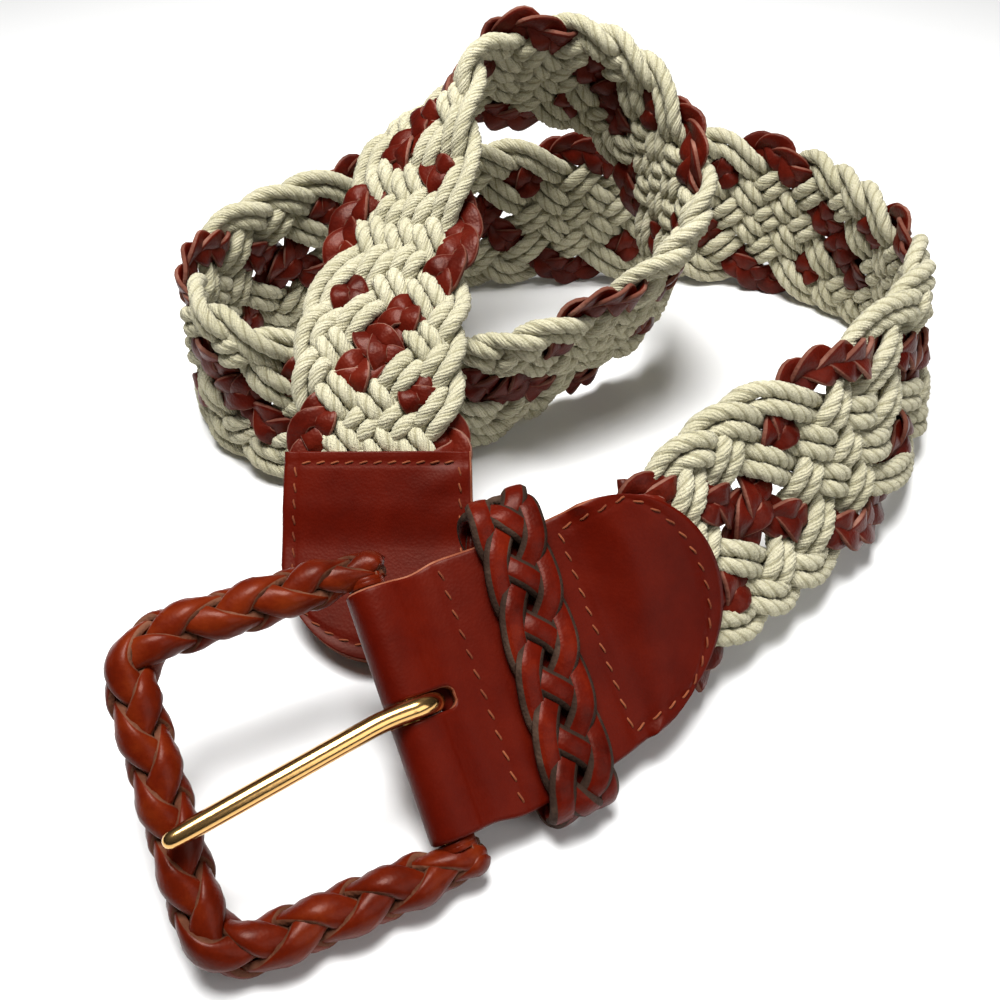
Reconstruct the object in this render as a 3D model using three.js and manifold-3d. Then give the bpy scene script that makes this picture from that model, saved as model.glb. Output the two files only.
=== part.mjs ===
// A braided belt lying coiled: a woven strap, its two leather tabs, a leather-wrapped buckle
// with a brass prong, and a plaited keeper. Millimetres, +Z up, the belt rests on z = 0.
import * as THREE from 'three';
import { mergeVertices } from 'three/addons/utils/BufferGeometryUtils.js';
import Module from 'manifold-3d';

// Driving dimensions
const CELL_LENGTH = 58; // one half-repeat of the plait, from one brown crossing to the next
const WEAVE = { half: 3.5, edgeHalf: 1.7, endHalf: 1.8, scallop: 0.06, from: -0.58, split: 6, meet: 0.004, to: 11.82 };
const GAPS = { across: [-0.5, 0, 0.5], along: 0.125, halfLength: 0.03, halfWidth: 0.075 };
const LEATHER = 2.1; // thickness of one layer of the tabs
const BAR = { radius: 2.2, halfLength: 28.2, cell: -1.49 };
const TAB = {
  foldRadius: 4.7, boreRadius: 2.6, seamHalf: 2.3, endHalf: 4.3,
  seamStart: 11, seamEnd: 40, pocketStart: 49.5, roundStart: 41, length: 66, narrow: 0.95, narrowEnd: 9,
  flatEnd: 5,
};
const SLOT = { halfWidth: 2.65, front: -8, through: 8.3, end: 9.9 };
const FRAME = {
  depth: 46.5, halfHeight: 29, corner: 9, radius: 5.2, bump: 0.45, tail: 4, tailRadius: 3.3, turns: 25,
};
const PRONG = {
  radius: 2, clearance: 0.8, tip: 46.3, rise: 7.8, skew: 6.5, bendStart: 2, bendEnd: 9, wrap: 250,
};
const KEEPER = {
  centre: 27.3, length: 14, tilt: 1.8, gap: 0.35, thickness: 3.6, slack: 0.8, lift: 1.4, ridge: 0.6, cells: 6,
};
const TIP = { start: 11.62, length: 52, pocket: 13, roundStart: 24, half: 2.9 };

// How far the finished belt is moved, so that its box is centred over the origin.
const SHIFT = [-18.23, 6.4, -0.22];

// The route of the belt from the buckle to the tip, chosen by hand: the count of half-repeats of
// the plait since the first brown crossing, then the left edge and the right edge of the belt,
// as someone walking on its front face from the buckle to the tip has them.
const ROUTE_COLUMNS = ['cell', 'leftX', 'leftY', 'leftZ', 'rightX', 'rightY', 'rightZ'];
const ROUTE = [
  // the buckle tab
  [-1.60, -31.6, -60.0, 34.4, -13.4, -100.8, 7.6],
  [-1.49, -26.1, -57.6, 34.4, -7.9, -98.4, 7.6],
  [-1.28, -15.1, -52.8, 34.4, 2.8, -93.2, 7.6],
  [-1.07, -4.0, -47.7, 34.5, 13.4, -86.8, 7.5],
  [-0.87, 7.6, -42.0, 34.9, 24.6, -79.0, 7.0],
  [-0.60, 22.5, -36.0, 40.0, 38.5, -66.0, 6.8],
  [-0.35, 32.0, -30.5, 45.0, 53.0, -52.0, 7.0],
  // up onto its edge and round the right-hand bend
  [0.00, 45.8, -17.5, 48.0, 69.0, -38.0, 6.5],
  [0.50, 70.7, -2.7, 51.1, 93.0, -14.0, 6.5],
  [0.75, 88.0, 13.6, 51.8, 106.0, 9.6, 5.0],
  [1.00, 100.5, 28.0, 51.5, 114.0, 30.0, 3.5],
  [1.25, 105.0, 43.0, 50.8, 118.0, 48.0, 2.0],
  [1.50, 105.3, 55.5, 50.3, 117.0, 62.0, 1.0],
  [1.75, 102.0, 68.0, 50.0, 112.5, 72.0, 0.6],
  [2.00, 97.0, 80.0, 50.0, 105.5, 80.0, 0.5],
  [2.25, 90.0, 92.0, 50.0, 97.0, 87.0, 0.5],
  [2.50, 80.0, 102.0, 49.5, 85.0, 94.0, 0.5],
  [2.75, 67.0, 106.5, 49.5, 71.0, 98.5, 0.5],
  // the back run
  [3.00, 53.0, 105.5, 50.0, 56.0, 100.5, 0.5],
  [3.50, 22.0, 100.5, 50.0, 24.0, 100.0, 0.5],
  [4.00, -8.0, 96.5, 50.0, -7.0, 97.5, 0.5],
  [4.50, -38.0, 89.0, 50.0, -37.0, 90.5, 0.5],
  // the left-hand loop
  [5.00, -62.5, 71.0, 50.0, -62.5, 72.5, 0.5],
  [5.25, -72.5, 58.5, 50.0, -73.5, 61.0, 0.5],
  [5.50, -77.5, 43.0, 50.0, -80.0, 46.5, 0.5],
  [5.75, -75.0, 27.0, 49.0, -79.0, 30.0, 0.5],
  [6.00, -63.5, 17.5, 45.0, -68.5, 16.0, 0.8],
  // the front run, pressed over where the tip crosses it
  [6.25, -49.0, 22.0, 37.5, -52.0, 3.5, 2.6],
  [6.50, -30.0, 25.0, 36.0, -31.0, 2.0, 2.6],
  [6.75, -13.5, 17.5, 40.0, -14.0, 11.0, 1.6],
  [7.00, 2.0, 11.5, 43.5, 3.0, 28.0, 1.8],
  [7.25, 12.5, 14.5, 46.0, 15.0, 38.0, 3.0],
  [7.50, 23.0, 19.5, 49.0, 27.5, 46.0, 6.5],
  // the inner loop, leaning forward with its far side on the back run
  [7.75, 36.0, 27.5, 52.0, 38.5, 54.0, 12.0],
  [8.00, 46.5, 36.0, 57.5, 43.5, 62.0, 20.0],
  [8.25, 51.5, 45.5, 64.5, 41.5, 70.0, 28.5],
  [8.50, 50.0, 56.5, 72.0, 37.0, 77.5, 38.0],
  [8.75, 43.5, 67.0, 80.0, 32.0, 85.0, 47.5],
  [9.00, 32.0, 74.5, 88.0, 26.0, 90.0, 54.5],
  [9.25, 19.5, 77.0, 92.0, 17.5, 91.5, 56.5],
  [9.50, 7.0, 76.0, 93.5, 7.0, 91.5, 57.0],
  [9.75, -3.0, 70.0, 91.0, -11.5, 89.0, 58.0],
  // over the front run and down to the tip
  [10.00, -5.0, 59.5, 81.5, -29.5, 78.5, 60.0],
  [10.25, -4.8, 47.5, 69.5, -38.0, 62.5, 57.0],
  [10.50, -4.7, 36.0, 59.5, -42.0, 47.5, 52.0],
  [10.75, -5.8, 22.5, 51.5, -46.0, 28.5, 47.5],
  [11.00, -7.0, 10.0, 46.0, -48.5, 12.5, 44.0],
  [11.25, -7.5, -1.0, 40.0, -48.5, 0.0, 39.0],
  [11.50, -7.0, -9.5, 32.5, -48.5, -9.0, 32.0],
  [11.65, -6.5, -15.0, 27.8, -48.5, -15.0, 27.6],
  [12.00, -6.0, -29.5, 17.0, -48.8, -29.5, 16.8],
  [12.60, -4.5, -58.0, 1.8, -48.0, -58.0, 1.8],
];

// Routes and frames
function routeEdges(cell) {
  let i = 0;
  while (i < ROUTE.length - 2 && cell > ROUTE[i + 1][0]) i += 1;
  const rows = [Math.max(i - 1, 0), i, i + 1, Math.min(i + 2, ROUTE.length - 1)].map((n) => ROUTE[n]);
  const [before, start, end, after] = rows;
  const span = end[0] - start[0];
  const w = (cell - start[0]) / span;
  const blend = ROUTE_COLUMNS.map((name, k) => {
    const leaving = ((end[k] - before[k]) / (end[0] - before[0])) * span;
    const arriving = ((after[k] - start[k]) / (after[0] - start[0])) * span;
    const w2 = w * w;
    const w3 = w2 * w;
    return (2 * w3 - 3 * w2 + 1) * start[k] + (w3 - 2 * w2 + w) * leaving
      + (3 * w2 - 2 * w3) * end[k] + (w3 - w2) * arriving;
  });
  return {
    left: new THREE.Vector3(blend[1], blend[2], blend[3]),
    right: new THREE.Vector3(blend[4], blend[5], blend[6]),
  };
}

// The belt's own frame at a cell: its middle, half its width, and three unit directions.
function beltFrame(cell) {
  const step = 0.02;
  const { left, right } = routeEdges(cell);
  const ahead = routeEdges(cell + step);
  const behind = routeEdges(cell - step);
  const middle = left.clone().add(right).multiplyScalar(0.5);
  const across = left.clone().sub(right);
  const half = across.length() / 2;
  across.normalize();
  const along = ahead.left.add(ahead.right).sub(behind.left).sub(behind.right);
  const front = along.cross(across).normalize();
  return { middle, across, front, along: across.clone().cross(front), half };
}

// A point of the belt: across runs from -1, the right edge, to 1, the left one.
function beltPoint(cell, across, height) {
  const { left, right } = routeEdges(cell);
  const { front } = beltFrame(cell);
  return right.lerp(left, (across + 1) / 2).addScaledVector(front, height);
}

const lengthToCell = (length) => BAR.cell + length / CELL_LENGTH;

// The buckle's flat frame, which carries the bar, the wrapped sides, the prong and the keeper.
const buckle = beltFrame(BAR.cell);
function bucklePoint(along, across, height) {
  return buckle.middle.clone()
    .addScaledVector(buckle.along, along)
    .addScaledVector(buckle.across, across)
    .addScaledVector(buckle.front, height);
}

// Meshes
function leatherMaterial(colour, roughness = 0.42) {
  return new THREE.MeshStandardMaterial({ color: colour, roughness, metalness: 0 });
}

const materials = {
  cotton: leatherMaterial('#cfcdb2', 0.95),
  leather: leatherMaterial('#7a2414', 0.4),
  plait: leatherMaterial('#8a3218', 0.35),
  brass: new THREE.MeshStandardMaterial({ color: '#d9a441', roughness: 0.2, metalness: 1 }),
};

function geometryFrom(points, triangles) {
  const geometry = new THREE.BufferGeometry();
  geometry.setAttribute('position', new THREE.Float32BufferAttribute(points.flatMap((p) => p.toArray()), 3));
  geometry.setIndex(triangles);
  return geometry;
}

function signedVolume(geometry) {
  const position = geometry.getAttribute('position');
  const index = geometry.getIndex();
  const corner = (n) => new THREE.Vector3().fromBufferAttribute(position, index.getX(n));
  let volume = 0;
  for (let n = 0; n < index.count; n += 3) {
    volume += corner(n).dot(corner(n + 1).cross(corner(n + 2)));
  }
  return volume;
}

// One closed body with shared corners and its faces pointing out.
function closedBody(geometry) {
  const bare = geometry.clone();
  for (const name of Object.keys(bare.attributes)) {
    if (name !== 'position') bare.deleteAttribute(name);
  }
  const merged = mergeVertices(bare, 1e-4);
  if (signedVolume(merged) < 0) {
    const index = merged.getIndex();
    for (let n = 0; n < index.count; n += 3) {
      const second = index.getX(n + 1);
      index.setX(n + 1, index.getX(n + 2));
      index.setX(n + 2, second);
    }
  }
  return merged;
}

function mesh(name, geometry, material) {
  const body = closedBody(geometry);
  body.translate(...SHIFT);
  body.computeVertexNormals();
  const piece = new THREE.Mesh(body, material);
  piece.name = name;
  return piece;
}

// A closed tube from rings that all have the same number of points.
function ringBody(rings, closed = false) {
  const sides = rings[0].length;
  const points = rings.flat();
  const triangles = [];
  const last = closed ? rings.length : rings.length - 1;
  for (let i = 0; i < last; i += 1) {
    const next = (i + 1) % rings.length;
    for (let k = 0; k < sides; k += 1) {
      const kk = (k + 1) % sides;
      const [a, b] = [i * sides + k, i * sides + kk];
      const [c, d] = [next * sides + kk, next * sides + k];
      triangles.push(a, b, c, a, c, d);
    }
  }
  if (!closed) {
    for (let k = 1; k < sides - 1; k += 1) {
      triangles.push(0, k + 1, k);
      const base = (rings.length - 1) * sides;
      triangles.push(base, base + k, base + k + 1);
    }
  }
  return geometryFrom(points, triangles);
}

const wasm = await Module();
wasm.setup();

function toManifold(geometry) {
  const body = closedBody(geometry);
  return new wasm.Manifold(new wasm.Mesh({
    numProp: 3,
    vertProperties: new Float32Array(body.getAttribute('position').array),
    triVerts: new Uint32Array(body.getIndex().array),
  }));
}

function fromManifold(solid) {
  const { vertProperties, triVerts } = solid.getMesh();
  const geometry = new THREE.BufferGeometry();
  geometry.setAttribute('position', new THREE.BufferAttribute(new Float32Array(vertProperties), 3));
  geometry.setIndex(Array.from(triVerts));
  return geometry;
}

// The woven strap: one thick band with scalloped edges, open at the gaps beside each crossing
function weaveLines(from, to) {
  const { along, halfLength } = GAPS;
  const marks = [0, along - halfLength, along + halfLength, 0.25, 0.375, 0.5, 0.625, 0.75];
  const offsets = [...marks, 1 - along - halfLength, 1 - along + halfLength];
  const cells = [from];
  for (let n = Math.floor(from); n <= to; n += 1) {
    for (const offset of offsets) {
      const cell = n + offset;
      if (cell > from + 0.02 && cell < to - 0.02) cells.push(cell);
    }
  }
  cells.push(to);
  return cells;
}

function isGap(startCell, endCell, startAcross, endAcross) {
  const cell = (startCell + endCell) / 2;
  const across = (startAcross + endAcross) / 2;
  const beside = Math.abs(Math.abs(cell - Math.round(cell)) - GAPS.along) < 0.005;
  const inRow = GAPS.across.some((row) => Math.abs(across - row) < 0.005);
  const clearOfTabs = cell > 0.05 - GAPS.along - 0.05 && cell < 11.3;
  return beside && inRow && clearOfTabs;
}

function weaveHalfThickness(cell, across) {
  const insideTabs = cell < lengthToCell(TAB.length) + 0.04 || cell > TIP.start - 0.04;
  const middle = insideTabs ? WEAVE.endHalf : WEAVE.half;
  return Math.abs(across) > 0.9 ? Math.min(WEAVE.edgeHalf, middle) : middle;
}

function strapWeave(name, from, to) {
  const cells = weaveLines(from, to);
  const rows = [-1, -0.8];
  for (const row of GAPS.across) rows.push(row - GAPS.halfWidth, row + GAPS.halfWidth);
  rows.push(0.8, 1);
  const scalloped = (cell, across) => {
    const tucked = cell < lengthToCell(TAB.length) || cell > TIP.start ? 0.88 : 1;
    const wave = 1 - WEAVE.scallop * (0.5 - 0.5 * Math.cos(cell * 8 * Math.PI));
    return across * tucked * (Math.abs(across) > 0.9 ? wave : 1);
  };
  const points = [];
  for (const side of [1, -1]) {
    for (const cell of cells) {
      for (const across of rows) {
        points.push(beltPoint(cell, scalloped(cell, across), side * weaveHalfThickness(cell, across)));
      }
    }
  }
  const columns = rows.length;
  const back = cells.length * columns;
  const at = (i, j, side) => side * back + i * columns + j;
  const open = (i, j) => i < 0 || j < 0 || i >= cells.length - 1 || j >= columns - 1
    || isGap(cells[i], cells[i + 1], rows[j], rows[j + 1]);
  const triangles = [];
  const quad = (a, b, c, d) => triangles.push(a, b, c, a, c, d);
  for (let i = 0; i < cells.length - 1; i += 1) {
    for (let j = 0; j < columns - 1; j += 1) {
      if (open(i, j)) continue;
      quad(at(i, j, 0), at(i + 1, j, 0), at(i + 1, j + 1, 0), at(i, j + 1, 0));
      quad(at(i, j, 1), at(i, j + 1, 1), at(i + 1, j + 1, 1), at(i + 1, j, 1));
      if (open(i, j - 1)) quad(at(i, j, 0), at(i, j, 1), at(i + 1, j, 1), at(i + 1, j, 0));
      if (open(i, j + 1)) quad(at(i, j + 1, 0), at(i + 1, j + 1, 0), at(i + 1, j + 1, 1), at(i, j + 1, 1));
      if (open(i - 1, j)) quad(at(i, j, 0), at(i, j + 1, 0), at(i, j + 1, 1), at(i, j, 1));
      if (open(i + 1, j)) quad(at(i + 1, j, 0), at(i + 1, j, 1), at(i + 1, j + 1, 1), at(i + 1, j + 1, 0));
    }
  }
  return mesh(name, geometryFrom(points, triangles), materials.cotton);
}

// A tab: a side outline of length and height, drawn out across the belt and laid along its route
function profileLine(points, step) {
  const outline = [];
  points.forEach(([x, y], n) => {
    const [nextX, nextY] = points[(n + 1) % points.length];
    const pieces = Math.max(1, Math.round(Math.abs(nextX - x) / step));
    for (let k = 0; k < pieces; k += 1) {
      outline.push(new THREE.Vector2(x + ((nextX - x) * k) / pieces, y + ((nextY - y) * k) / pieces));
    }
  });
  return outline;
}

function drawnOut(shape, steps, place) {
  const geometry = new THREE.ExtrudeGeometry(shape, { depth: 1, steps, bevelEnabled: false, curveSegments: 8 });
  const position = geometry.getAttribute('position');
  for (let n = 0; n < position.count; n += 1) {
    const point = place(position.getX(n), position.getZ(n) * 2 - 1, position.getY(n));
    position.setXYZ(n, point.x, point.y, point.z);
  }
  return geometry;
}

// How far a round end still reaches at a place across the width, as a share of its length.
function roundEnd(across) {
  return Math.sqrt(1 - (0.985 * across) ** 2);
}

function buckleTabShape() {
  const { foldRadius, seamHalf, endHalf, seamStart, seamEnd, pocketStart, length } = TAB;
  const fold = [];
  for (let k = 0; k <= 8; k += 1) {
    const angle = Math.PI / 2 + (Math.PI * k) / 8;
    fold.push([foldRadius * Math.cos(angle), foldRadius * Math.sin(angle)]);
  }
  const inner = endHalf - LEATHER;
  const outline = [
    [length, endHalf], [pocketStart, endHalf], [seamEnd, seamHalf], [seamStart, seamHalf],
    ...fold,
    [seamStart, -seamHalf], [seamEnd, -seamHalf], [pocketStart, -endHalf], [length, -endHalf],
    [length, -inner], [pocketStart, -inner], [pocketStart, inner], [length, inner],
  ];
  const shape = new THREE.Shape(profileLine(outline, 6));
  const bore = new THREE.Path();
  bore.absarc(0, 0, TAB.boreRadius, 0, 2 * Math.PI, true);
  shape.holes.push(bore);
  return shape;
}

function buckleTabPoint(along, across, height) {
  const { roundStart, narrow, narrowEnd, flatEnd } = TAB;
  const past = Math.max(along - roundStart, 0);
  const reach = Math.min(along, roundStart) + past * roundEnd(across);
  const width = THREE.MathUtils.lerp(narrow, 1, THREE.MathUtils.smoothstep(along, narrowEnd - 2, narrowEnd + 6));
  if (along <= flatEnd) return bucklePoint(along, across * width * buckle.half, height);
  return beltPoint(lengthToCell(reach), across * width, height);
}

// A box in the buckle's frame, between two corners.
function buckleBox(low, high) {
  const corners = [];
  for (const x of [low[0], high[0]]) {
    for (const y of [low[1], high[1]]) {
      for (const z of [low[2], high[2]]) corners.push(bucklePoint(x, y, z));
    }
  }
  const faces = [[0, 1, 3, 2], [4, 6, 7, 5], [0, 4, 5, 1], [2, 3, 7, 6], [0, 2, 6, 4], [1, 5, 7, 3]];
  return geometryFrom(corners, faces.flatMap(([a, b, c, d]) => [a, b, c, a, c, d]));
}

function buckleTab() {
  const leather = toManifold(drawnOut(buckleTabShape(), 12, buckleTabPoint));
  const { halfWidth, front, through, end } = SLOT;
  const deep = toManifold(buckleBox([front, -halfWidth, -8], [through, halfWidth, 8]));
  const shallow = toManifold(buckleBox([through - 1, -halfWidth, 0], [end, halfWidth, 8]));
  return mesh('buckle_tab', fromManifold(leather.subtract(deep).subtract(shallow)), materials.leather);
}

function tipTab() {
  const { length, pocket, half, roundStart, start } = TIP;
  const inner = half - LEATHER / 2 + 0.35;
  const outer = inner + LEATHER / 2 + 0.6;
  const outline = [
    [0, outer], [pocket + 8, half - 0.4], [length, half - 0.6], [length, -half + 0.6],
    [pocket + 8, -half + 0.4], [0, -outer], [0, -inner], [pocket, -inner], [pocket, inner], [0, inner],
  ];
  const shape = new THREE.Shape(profileLine(outline, 6));
  const place = (along, across, height) => {
    const past = Math.max(along - roundStart, 0);
    const reach = Math.min(along, roundStart) + past * roundEnd(across);
    return beltPoint(start + reach / CELL_LENGTH, across, height);
  };
  return mesh('tip_tab', drawnOut(shape, 12, place), materials.leather);
}

// The buckle: a bar in the tab's fold and three sides wrapped in a round plait
function frameOutline() {
  const { depth, halfHeight, corner, tail } = FRAME;
  const path = new THREE.Path();
  path.moveTo(tail, halfHeight);
  path.lineTo(corner - depth, halfHeight);
  path.absarc(corner - depth, halfHeight - corner, corner, Math.PI / 2, Math.PI, false);
  path.lineTo(-depth, corner - halfHeight);
  path.absarc(corner - depth, corner - halfHeight, corner, Math.PI, 1.5 * Math.PI, false);
  path.lineTo(tail, -halfHeight);
  return path;
}

// The bumps of a four-strand round plait: two strands cross on each side, turn about.
function plaitRadius(turn, angle) {
  const wave = Math.cos(2 * angle) * Math.cos(2 * Math.PI * turn);
  return FRAME.radius + FRAME.bump * wave;
}

function buckleWrap() {
  const path = frameOutline();
  const { tail } = FRAME;
  const steps = FRAME.turns * 4;
  const sides = 10;
  const rings = [];
  for (let i = 0; i <= steps; i += 1) {
    const share = i / steps;
    const centre = path.getPointAt(share);
    const tangent = path.getTangentAt(share);
    const outward = new THREE.Vector2(tangent.y, -tangent.x);
    const fromEnd = Math.min(share, 1 - share) * path.getLength();
    const swell = THREE.MathUtils.smoothstep(fromEnd, 1.8 * tail, 3.6 * tail);
    const taper = THREE.MathUtils.lerp(FRAME.tailRadius / FRAME.radius, 1, swell);
    const ring = [];
    for (let k = 0; k < sides; k += 1) {
      const angle = (2 * Math.PI * k) / sides;
      const radius = plaitRadius((share * FRAME.turns) / 2, angle) * taper;
      const out = radius * Math.cos(angle);
      ring.push(bucklePoint(centre.x + outward.x * out, centre.y + outward.y * out, radius * Math.sin(angle)));
    }
    rings.push(ring);
  }
  const socket = toManifold(barTube(BAR.radius + 0.35, BAR.halfLength + 0.4));
  const wrap = toManifold(ringBody(rings)).subtract(socket);
  return mesh('buckle_wrap', fromManifold(wrap), materials.plait);
}

function barTube(radius, halfLength) {
  const sides = 16;
  const ring = (across) => Array.from({ length: sides }, (unused, k) => {
    const angle = (2 * Math.PI * k) / sides;
    return bucklePoint(radius * Math.cos(angle), across, radius * Math.sin(angle));
  });
  return ringBody([ring(-halfLength), ring(halfLength)]);
}

const buckleBar = () => mesh('buckle_bar', barTube(BAR.radius, BAR.halfLength), materials.brass);

// How far the prong has gone aside, as a share, at a length from the bar: straight but for one bend.
function prongAside(along) {
  const { bendStart, bendEnd, tip } = PRONG;
  const run = (at) => {
    if (at <= bendStart) return 0;
    if (at <= bendEnd) return (at - bendStart) ** 2 / (2 * (bendEnd - bendStart));
    return at - (bendStart + bendEnd) / 2;
  };
  return run(along) / run(tip);
}

// The prong: a brass rod bent round the bar, lying on the wrapped far side
function prong() {
  const eye = BAR.radius + PRONG.clearance + PRONG.radius;
  const rise = Math.atan2(PRONG.rise - eye, PRONG.tip);
  const centres = [];
  const straight = [1, 0.8, 0.6, 0.4, 0.25, 0.19, 0.15, 0.11, 0.07, 0.03, 0];
  for (const share of straight) {
    centres.push([-PRONG.tip * share - eye * Math.sin(rise) * (1 - share),
      PRONG.rise * share + eye * Math.cos(rise) * (1 - share), -PRONG.skew * prongAside(PRONG.tip * share)]);
  }
  const bends = 14;
  for (let i = 1; i <= bends; i += 1) {
    const angle = Math.PI / 2 + rise - (THREE.MathUtils.degToRad(PRONG.wrap) * i) / bends;
    centres.push([eye * Math.cos(angle), eye * Math.sin(angle), 0]);
  }
  const sides = 12;
  const rings = centres.map(([along, height, aside], i) => {
    const [x0, y0] = centres[Math.max(i - 1, 0)];
    const [x1, y1] = centres[Math.min(i + 1, centres.length - 1)];
    const out = new THREE.Vector2(x1 - x0, y1 - y0).normalize();
    return Array.from({ length: sides }, (unused, k) => {
      const angle = (2 * Math.PI * k) / sides;
      const lift = PRONG.radius * Math.sin(angle);
      return bucklePoint(along - out.y * lift, aside + PRONG.radius * Math.cos(angle), height + out.x * lift);
    });
  });
  const first = rings[0];
  const tipCentre = first.reduce((sum, p) => sum.add(p), new THREE.Vector3()).divideScalar(sides);
  const outwards = tipCentre.clone().sub(rings[1].reduce((sum, p) => sum.add(p), new THREE.Vector3())
    .divideScalar(sides)).normalize();
  const cap = [0.5, 0.85].map((share) => first.map((p) => tipCentre.clone()
    .lerp(p, Math.sqrt(1 - share * share)).addScaledVector(outwards, PRONG.radius * share)));
  return mesh('prong', ringBody([cap[1], cap[0], ...rings]), materials.brass);
}

// The keeper: a flat four-strand plait once round the tab between its two seams
function keeper() {
  const { centre, length, tilt, gap, thickness, slack, lift, ridge, cells } = KEEPER;
  const frame = beltFrame(lengthToCell(centre));
  const halfHigh = TAB.seamHalf + gap + 0.5 + thickness / 2;
  const halfAcross = frame.half + halfHigh + slack;
  const loop = new THREE.Path();
  loop.moveTo(halfAcross - halfHigh, halfHigh);
  loop.lineTo(halfHigh - halfAcross, halfHigh);
  loop.absarc(halfHigh - halfAcross, 0, halfHigh, Math.PI / 2, 1.5 * Math.PI, false);
  loop.lineTo(halfAcross - halfHigh, -halfHigh);
  loop.absarc(halfAcross - halfHigh, 0, halfHigh, -Math.PI / 2, Math.PI / 2, false);
  const steps = cells * 12;
  const rings = [];
  for (let i = 0; i < steps; i += 1) {
    const share = i / steps;
    const spot = loop.getPointAt(share);
    const tangent = loop.getTangentAt(share);
    const out = new THREE.Vector2(-tangent.y, tangent.x).negate();
    const wave = Math.cos(2 * Math.PI * share * cells * 2);
    const section = [
      [-1, 0, 0], [-0.85, 1, 1], [-0.35, 1, 1], [0, 1, -1], [0.35, 1, 1], [0.85, 1, 1],
      [1, 0, 0], [0.7, -1, 0], [-0.7, -1, 0],
    ];
    rings.push(section.map(([along, side, raise]) => {
      const outwards = side > 0 ? thickness / 2 + raise * ridge * wave * 0.5 : (side * thickness) / 2;
      const reach = along * (length / 2) * (1 - 0.05 * wave * Math.sign(along));
      const local = beltFrame(lengthToCell(centre + reach + (tilt * spot.x) / frame.half));
      return local.middle
        .addScaledVector(local.across, lift + spot.x + out.x * outwards)
        .addScaledVector(local.front, spot.y + out.y * outwards);
    }));
  }
  return mesh('keeper', ringBody(rings, true), materials.plait);
}

const belt = new THREE.Group();
belt.add(strapWeave('strap_weave_outer', WEAVE.from, WEAVE.split - WEAVE.meet));
belt.add(strapWeave('strap_weave_inner', WEAVE.split + WEAVE.meet, WEAVE.to));
belt.add(buckleTab(), tipTab(), buckleBar(), buckleWrap(), prong(), keeper());

export default belt;
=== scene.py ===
"""A woven belt of cotton cords and leather braids, lying coiled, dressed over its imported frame."""
import math

import bpy
import numpy as np
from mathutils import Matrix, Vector


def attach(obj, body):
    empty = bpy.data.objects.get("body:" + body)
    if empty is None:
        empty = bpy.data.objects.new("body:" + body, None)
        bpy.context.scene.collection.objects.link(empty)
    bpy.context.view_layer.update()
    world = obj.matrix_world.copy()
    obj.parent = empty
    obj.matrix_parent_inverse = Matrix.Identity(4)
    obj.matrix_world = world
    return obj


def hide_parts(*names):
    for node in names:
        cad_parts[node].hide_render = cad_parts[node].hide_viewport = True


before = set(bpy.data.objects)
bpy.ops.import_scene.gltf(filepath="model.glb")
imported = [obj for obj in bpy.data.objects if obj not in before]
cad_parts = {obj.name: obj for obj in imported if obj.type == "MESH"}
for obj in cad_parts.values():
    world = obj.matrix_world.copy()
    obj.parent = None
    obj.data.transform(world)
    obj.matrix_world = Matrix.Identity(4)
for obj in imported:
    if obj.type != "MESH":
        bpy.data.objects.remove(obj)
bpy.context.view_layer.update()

MM = 0.001
SHIFT = np.array([-18.23, 6.4, -0.22])

# Sizes in millimetres. The forms are those of the frame, only the slot is tighter round the prong
CELL_LENGTH = 58.0
BAR_CELL = -1.49
BAR_RADIUS = 2.2
TAB = dict(fold=4.7, seam_half=2.3, end_half=4.3, seam_start=11, seam_end=40, pocket=49.5,
           round_start=41, length=66, level=5.0, narrow=0.95, narrow_to=7.0, wide_from=15.0, leather=2.1)
SLOT = dict(share=0.09, end=9.0, round=2.2, through=6.45, behind=0.92, fade=3.0, spread=0.25)
# seams of the buckle tab: lengths past the bar, share of the half width, and how deep they draw in
SEAMS = dict(first=14.3, first_side=0.95, second=38.8, rim=62.4, side=0.88, depth=0.3)
# seams of the tip tab: lengths past its mouth, share of the half width, and how deep they draw in
TIP_SEAMS = dict(mouth=2.9, mouth_side=0.84, side_start=3.2, rim=48.6, side=0.875, depth=0.28)
# spacing and length of the stitches in each place, then the thread's shape
TAB_STITCH = (4.1, 2.5)
MOUTH_STITCH = (3.2, 2.2)
RIM_STITCH = (3.6, 2.4)
THREAD = dict(radius=0.24, sides=6, lift=0.3, dive=11.0, slant=0.8)
THREAD_TAPER = np.array([0.75, 0.95, 1.0, 1.0, 1.0, 0.95, 0.75])
FRAME_SIDE = dict(depth=46.5, half_height=29.0, corner=9.0, tail=4.0, core=3.4, lift=0.75, lay=24.0,
                  strands=4, step=0.5, tucked=0.71, tuck=(6.5, 14.5), close=3.4, wide=2.85, thick=1.15,
                  crown=0.1)
COLLAR = dict(radius=3.0, place=25.35, lay=0.75, turns=2.15, points=60)
PRONG = dict(radius=2.0, clearance=0.8, tip=46.3, rise=7.8, skew=6.5, bend=(2.0, 9.0), wrap=250,
             sides=24, thinner=0.16)
KEEPER = dict(centre=27.3, tilt=1.8, gap=0.35, relief=0.5, thickness=3.6, slack=0.8, lift=1.4,
              periods=3, reach=4.5, steep=1.9, over=0.8, steps=480, strands=4)
TIP = dict(start=11.62, length=52.0, pocket=13.0, round_start=24.0, mouth_half=3.85, pocket_half=3.7,
           sewn_half=2.3, leather=1.7)
WEAVE = dict(start=-0.56, end=11.8, strands=8, cord=2.05, lift=2.0, inset=0.875, margin=0.15,
             fade=0.35, step=0.008)
CORD = dict(step=1.15, apart=0.94, lay=11.0, uneven=0.7)
LACE = dict(step=1.0, count=3, pitch=21.0, reach=2.75, wave=0.2, lift=0.85, tilt=0.22, wide=2.3,
            thick=0.66)
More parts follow.
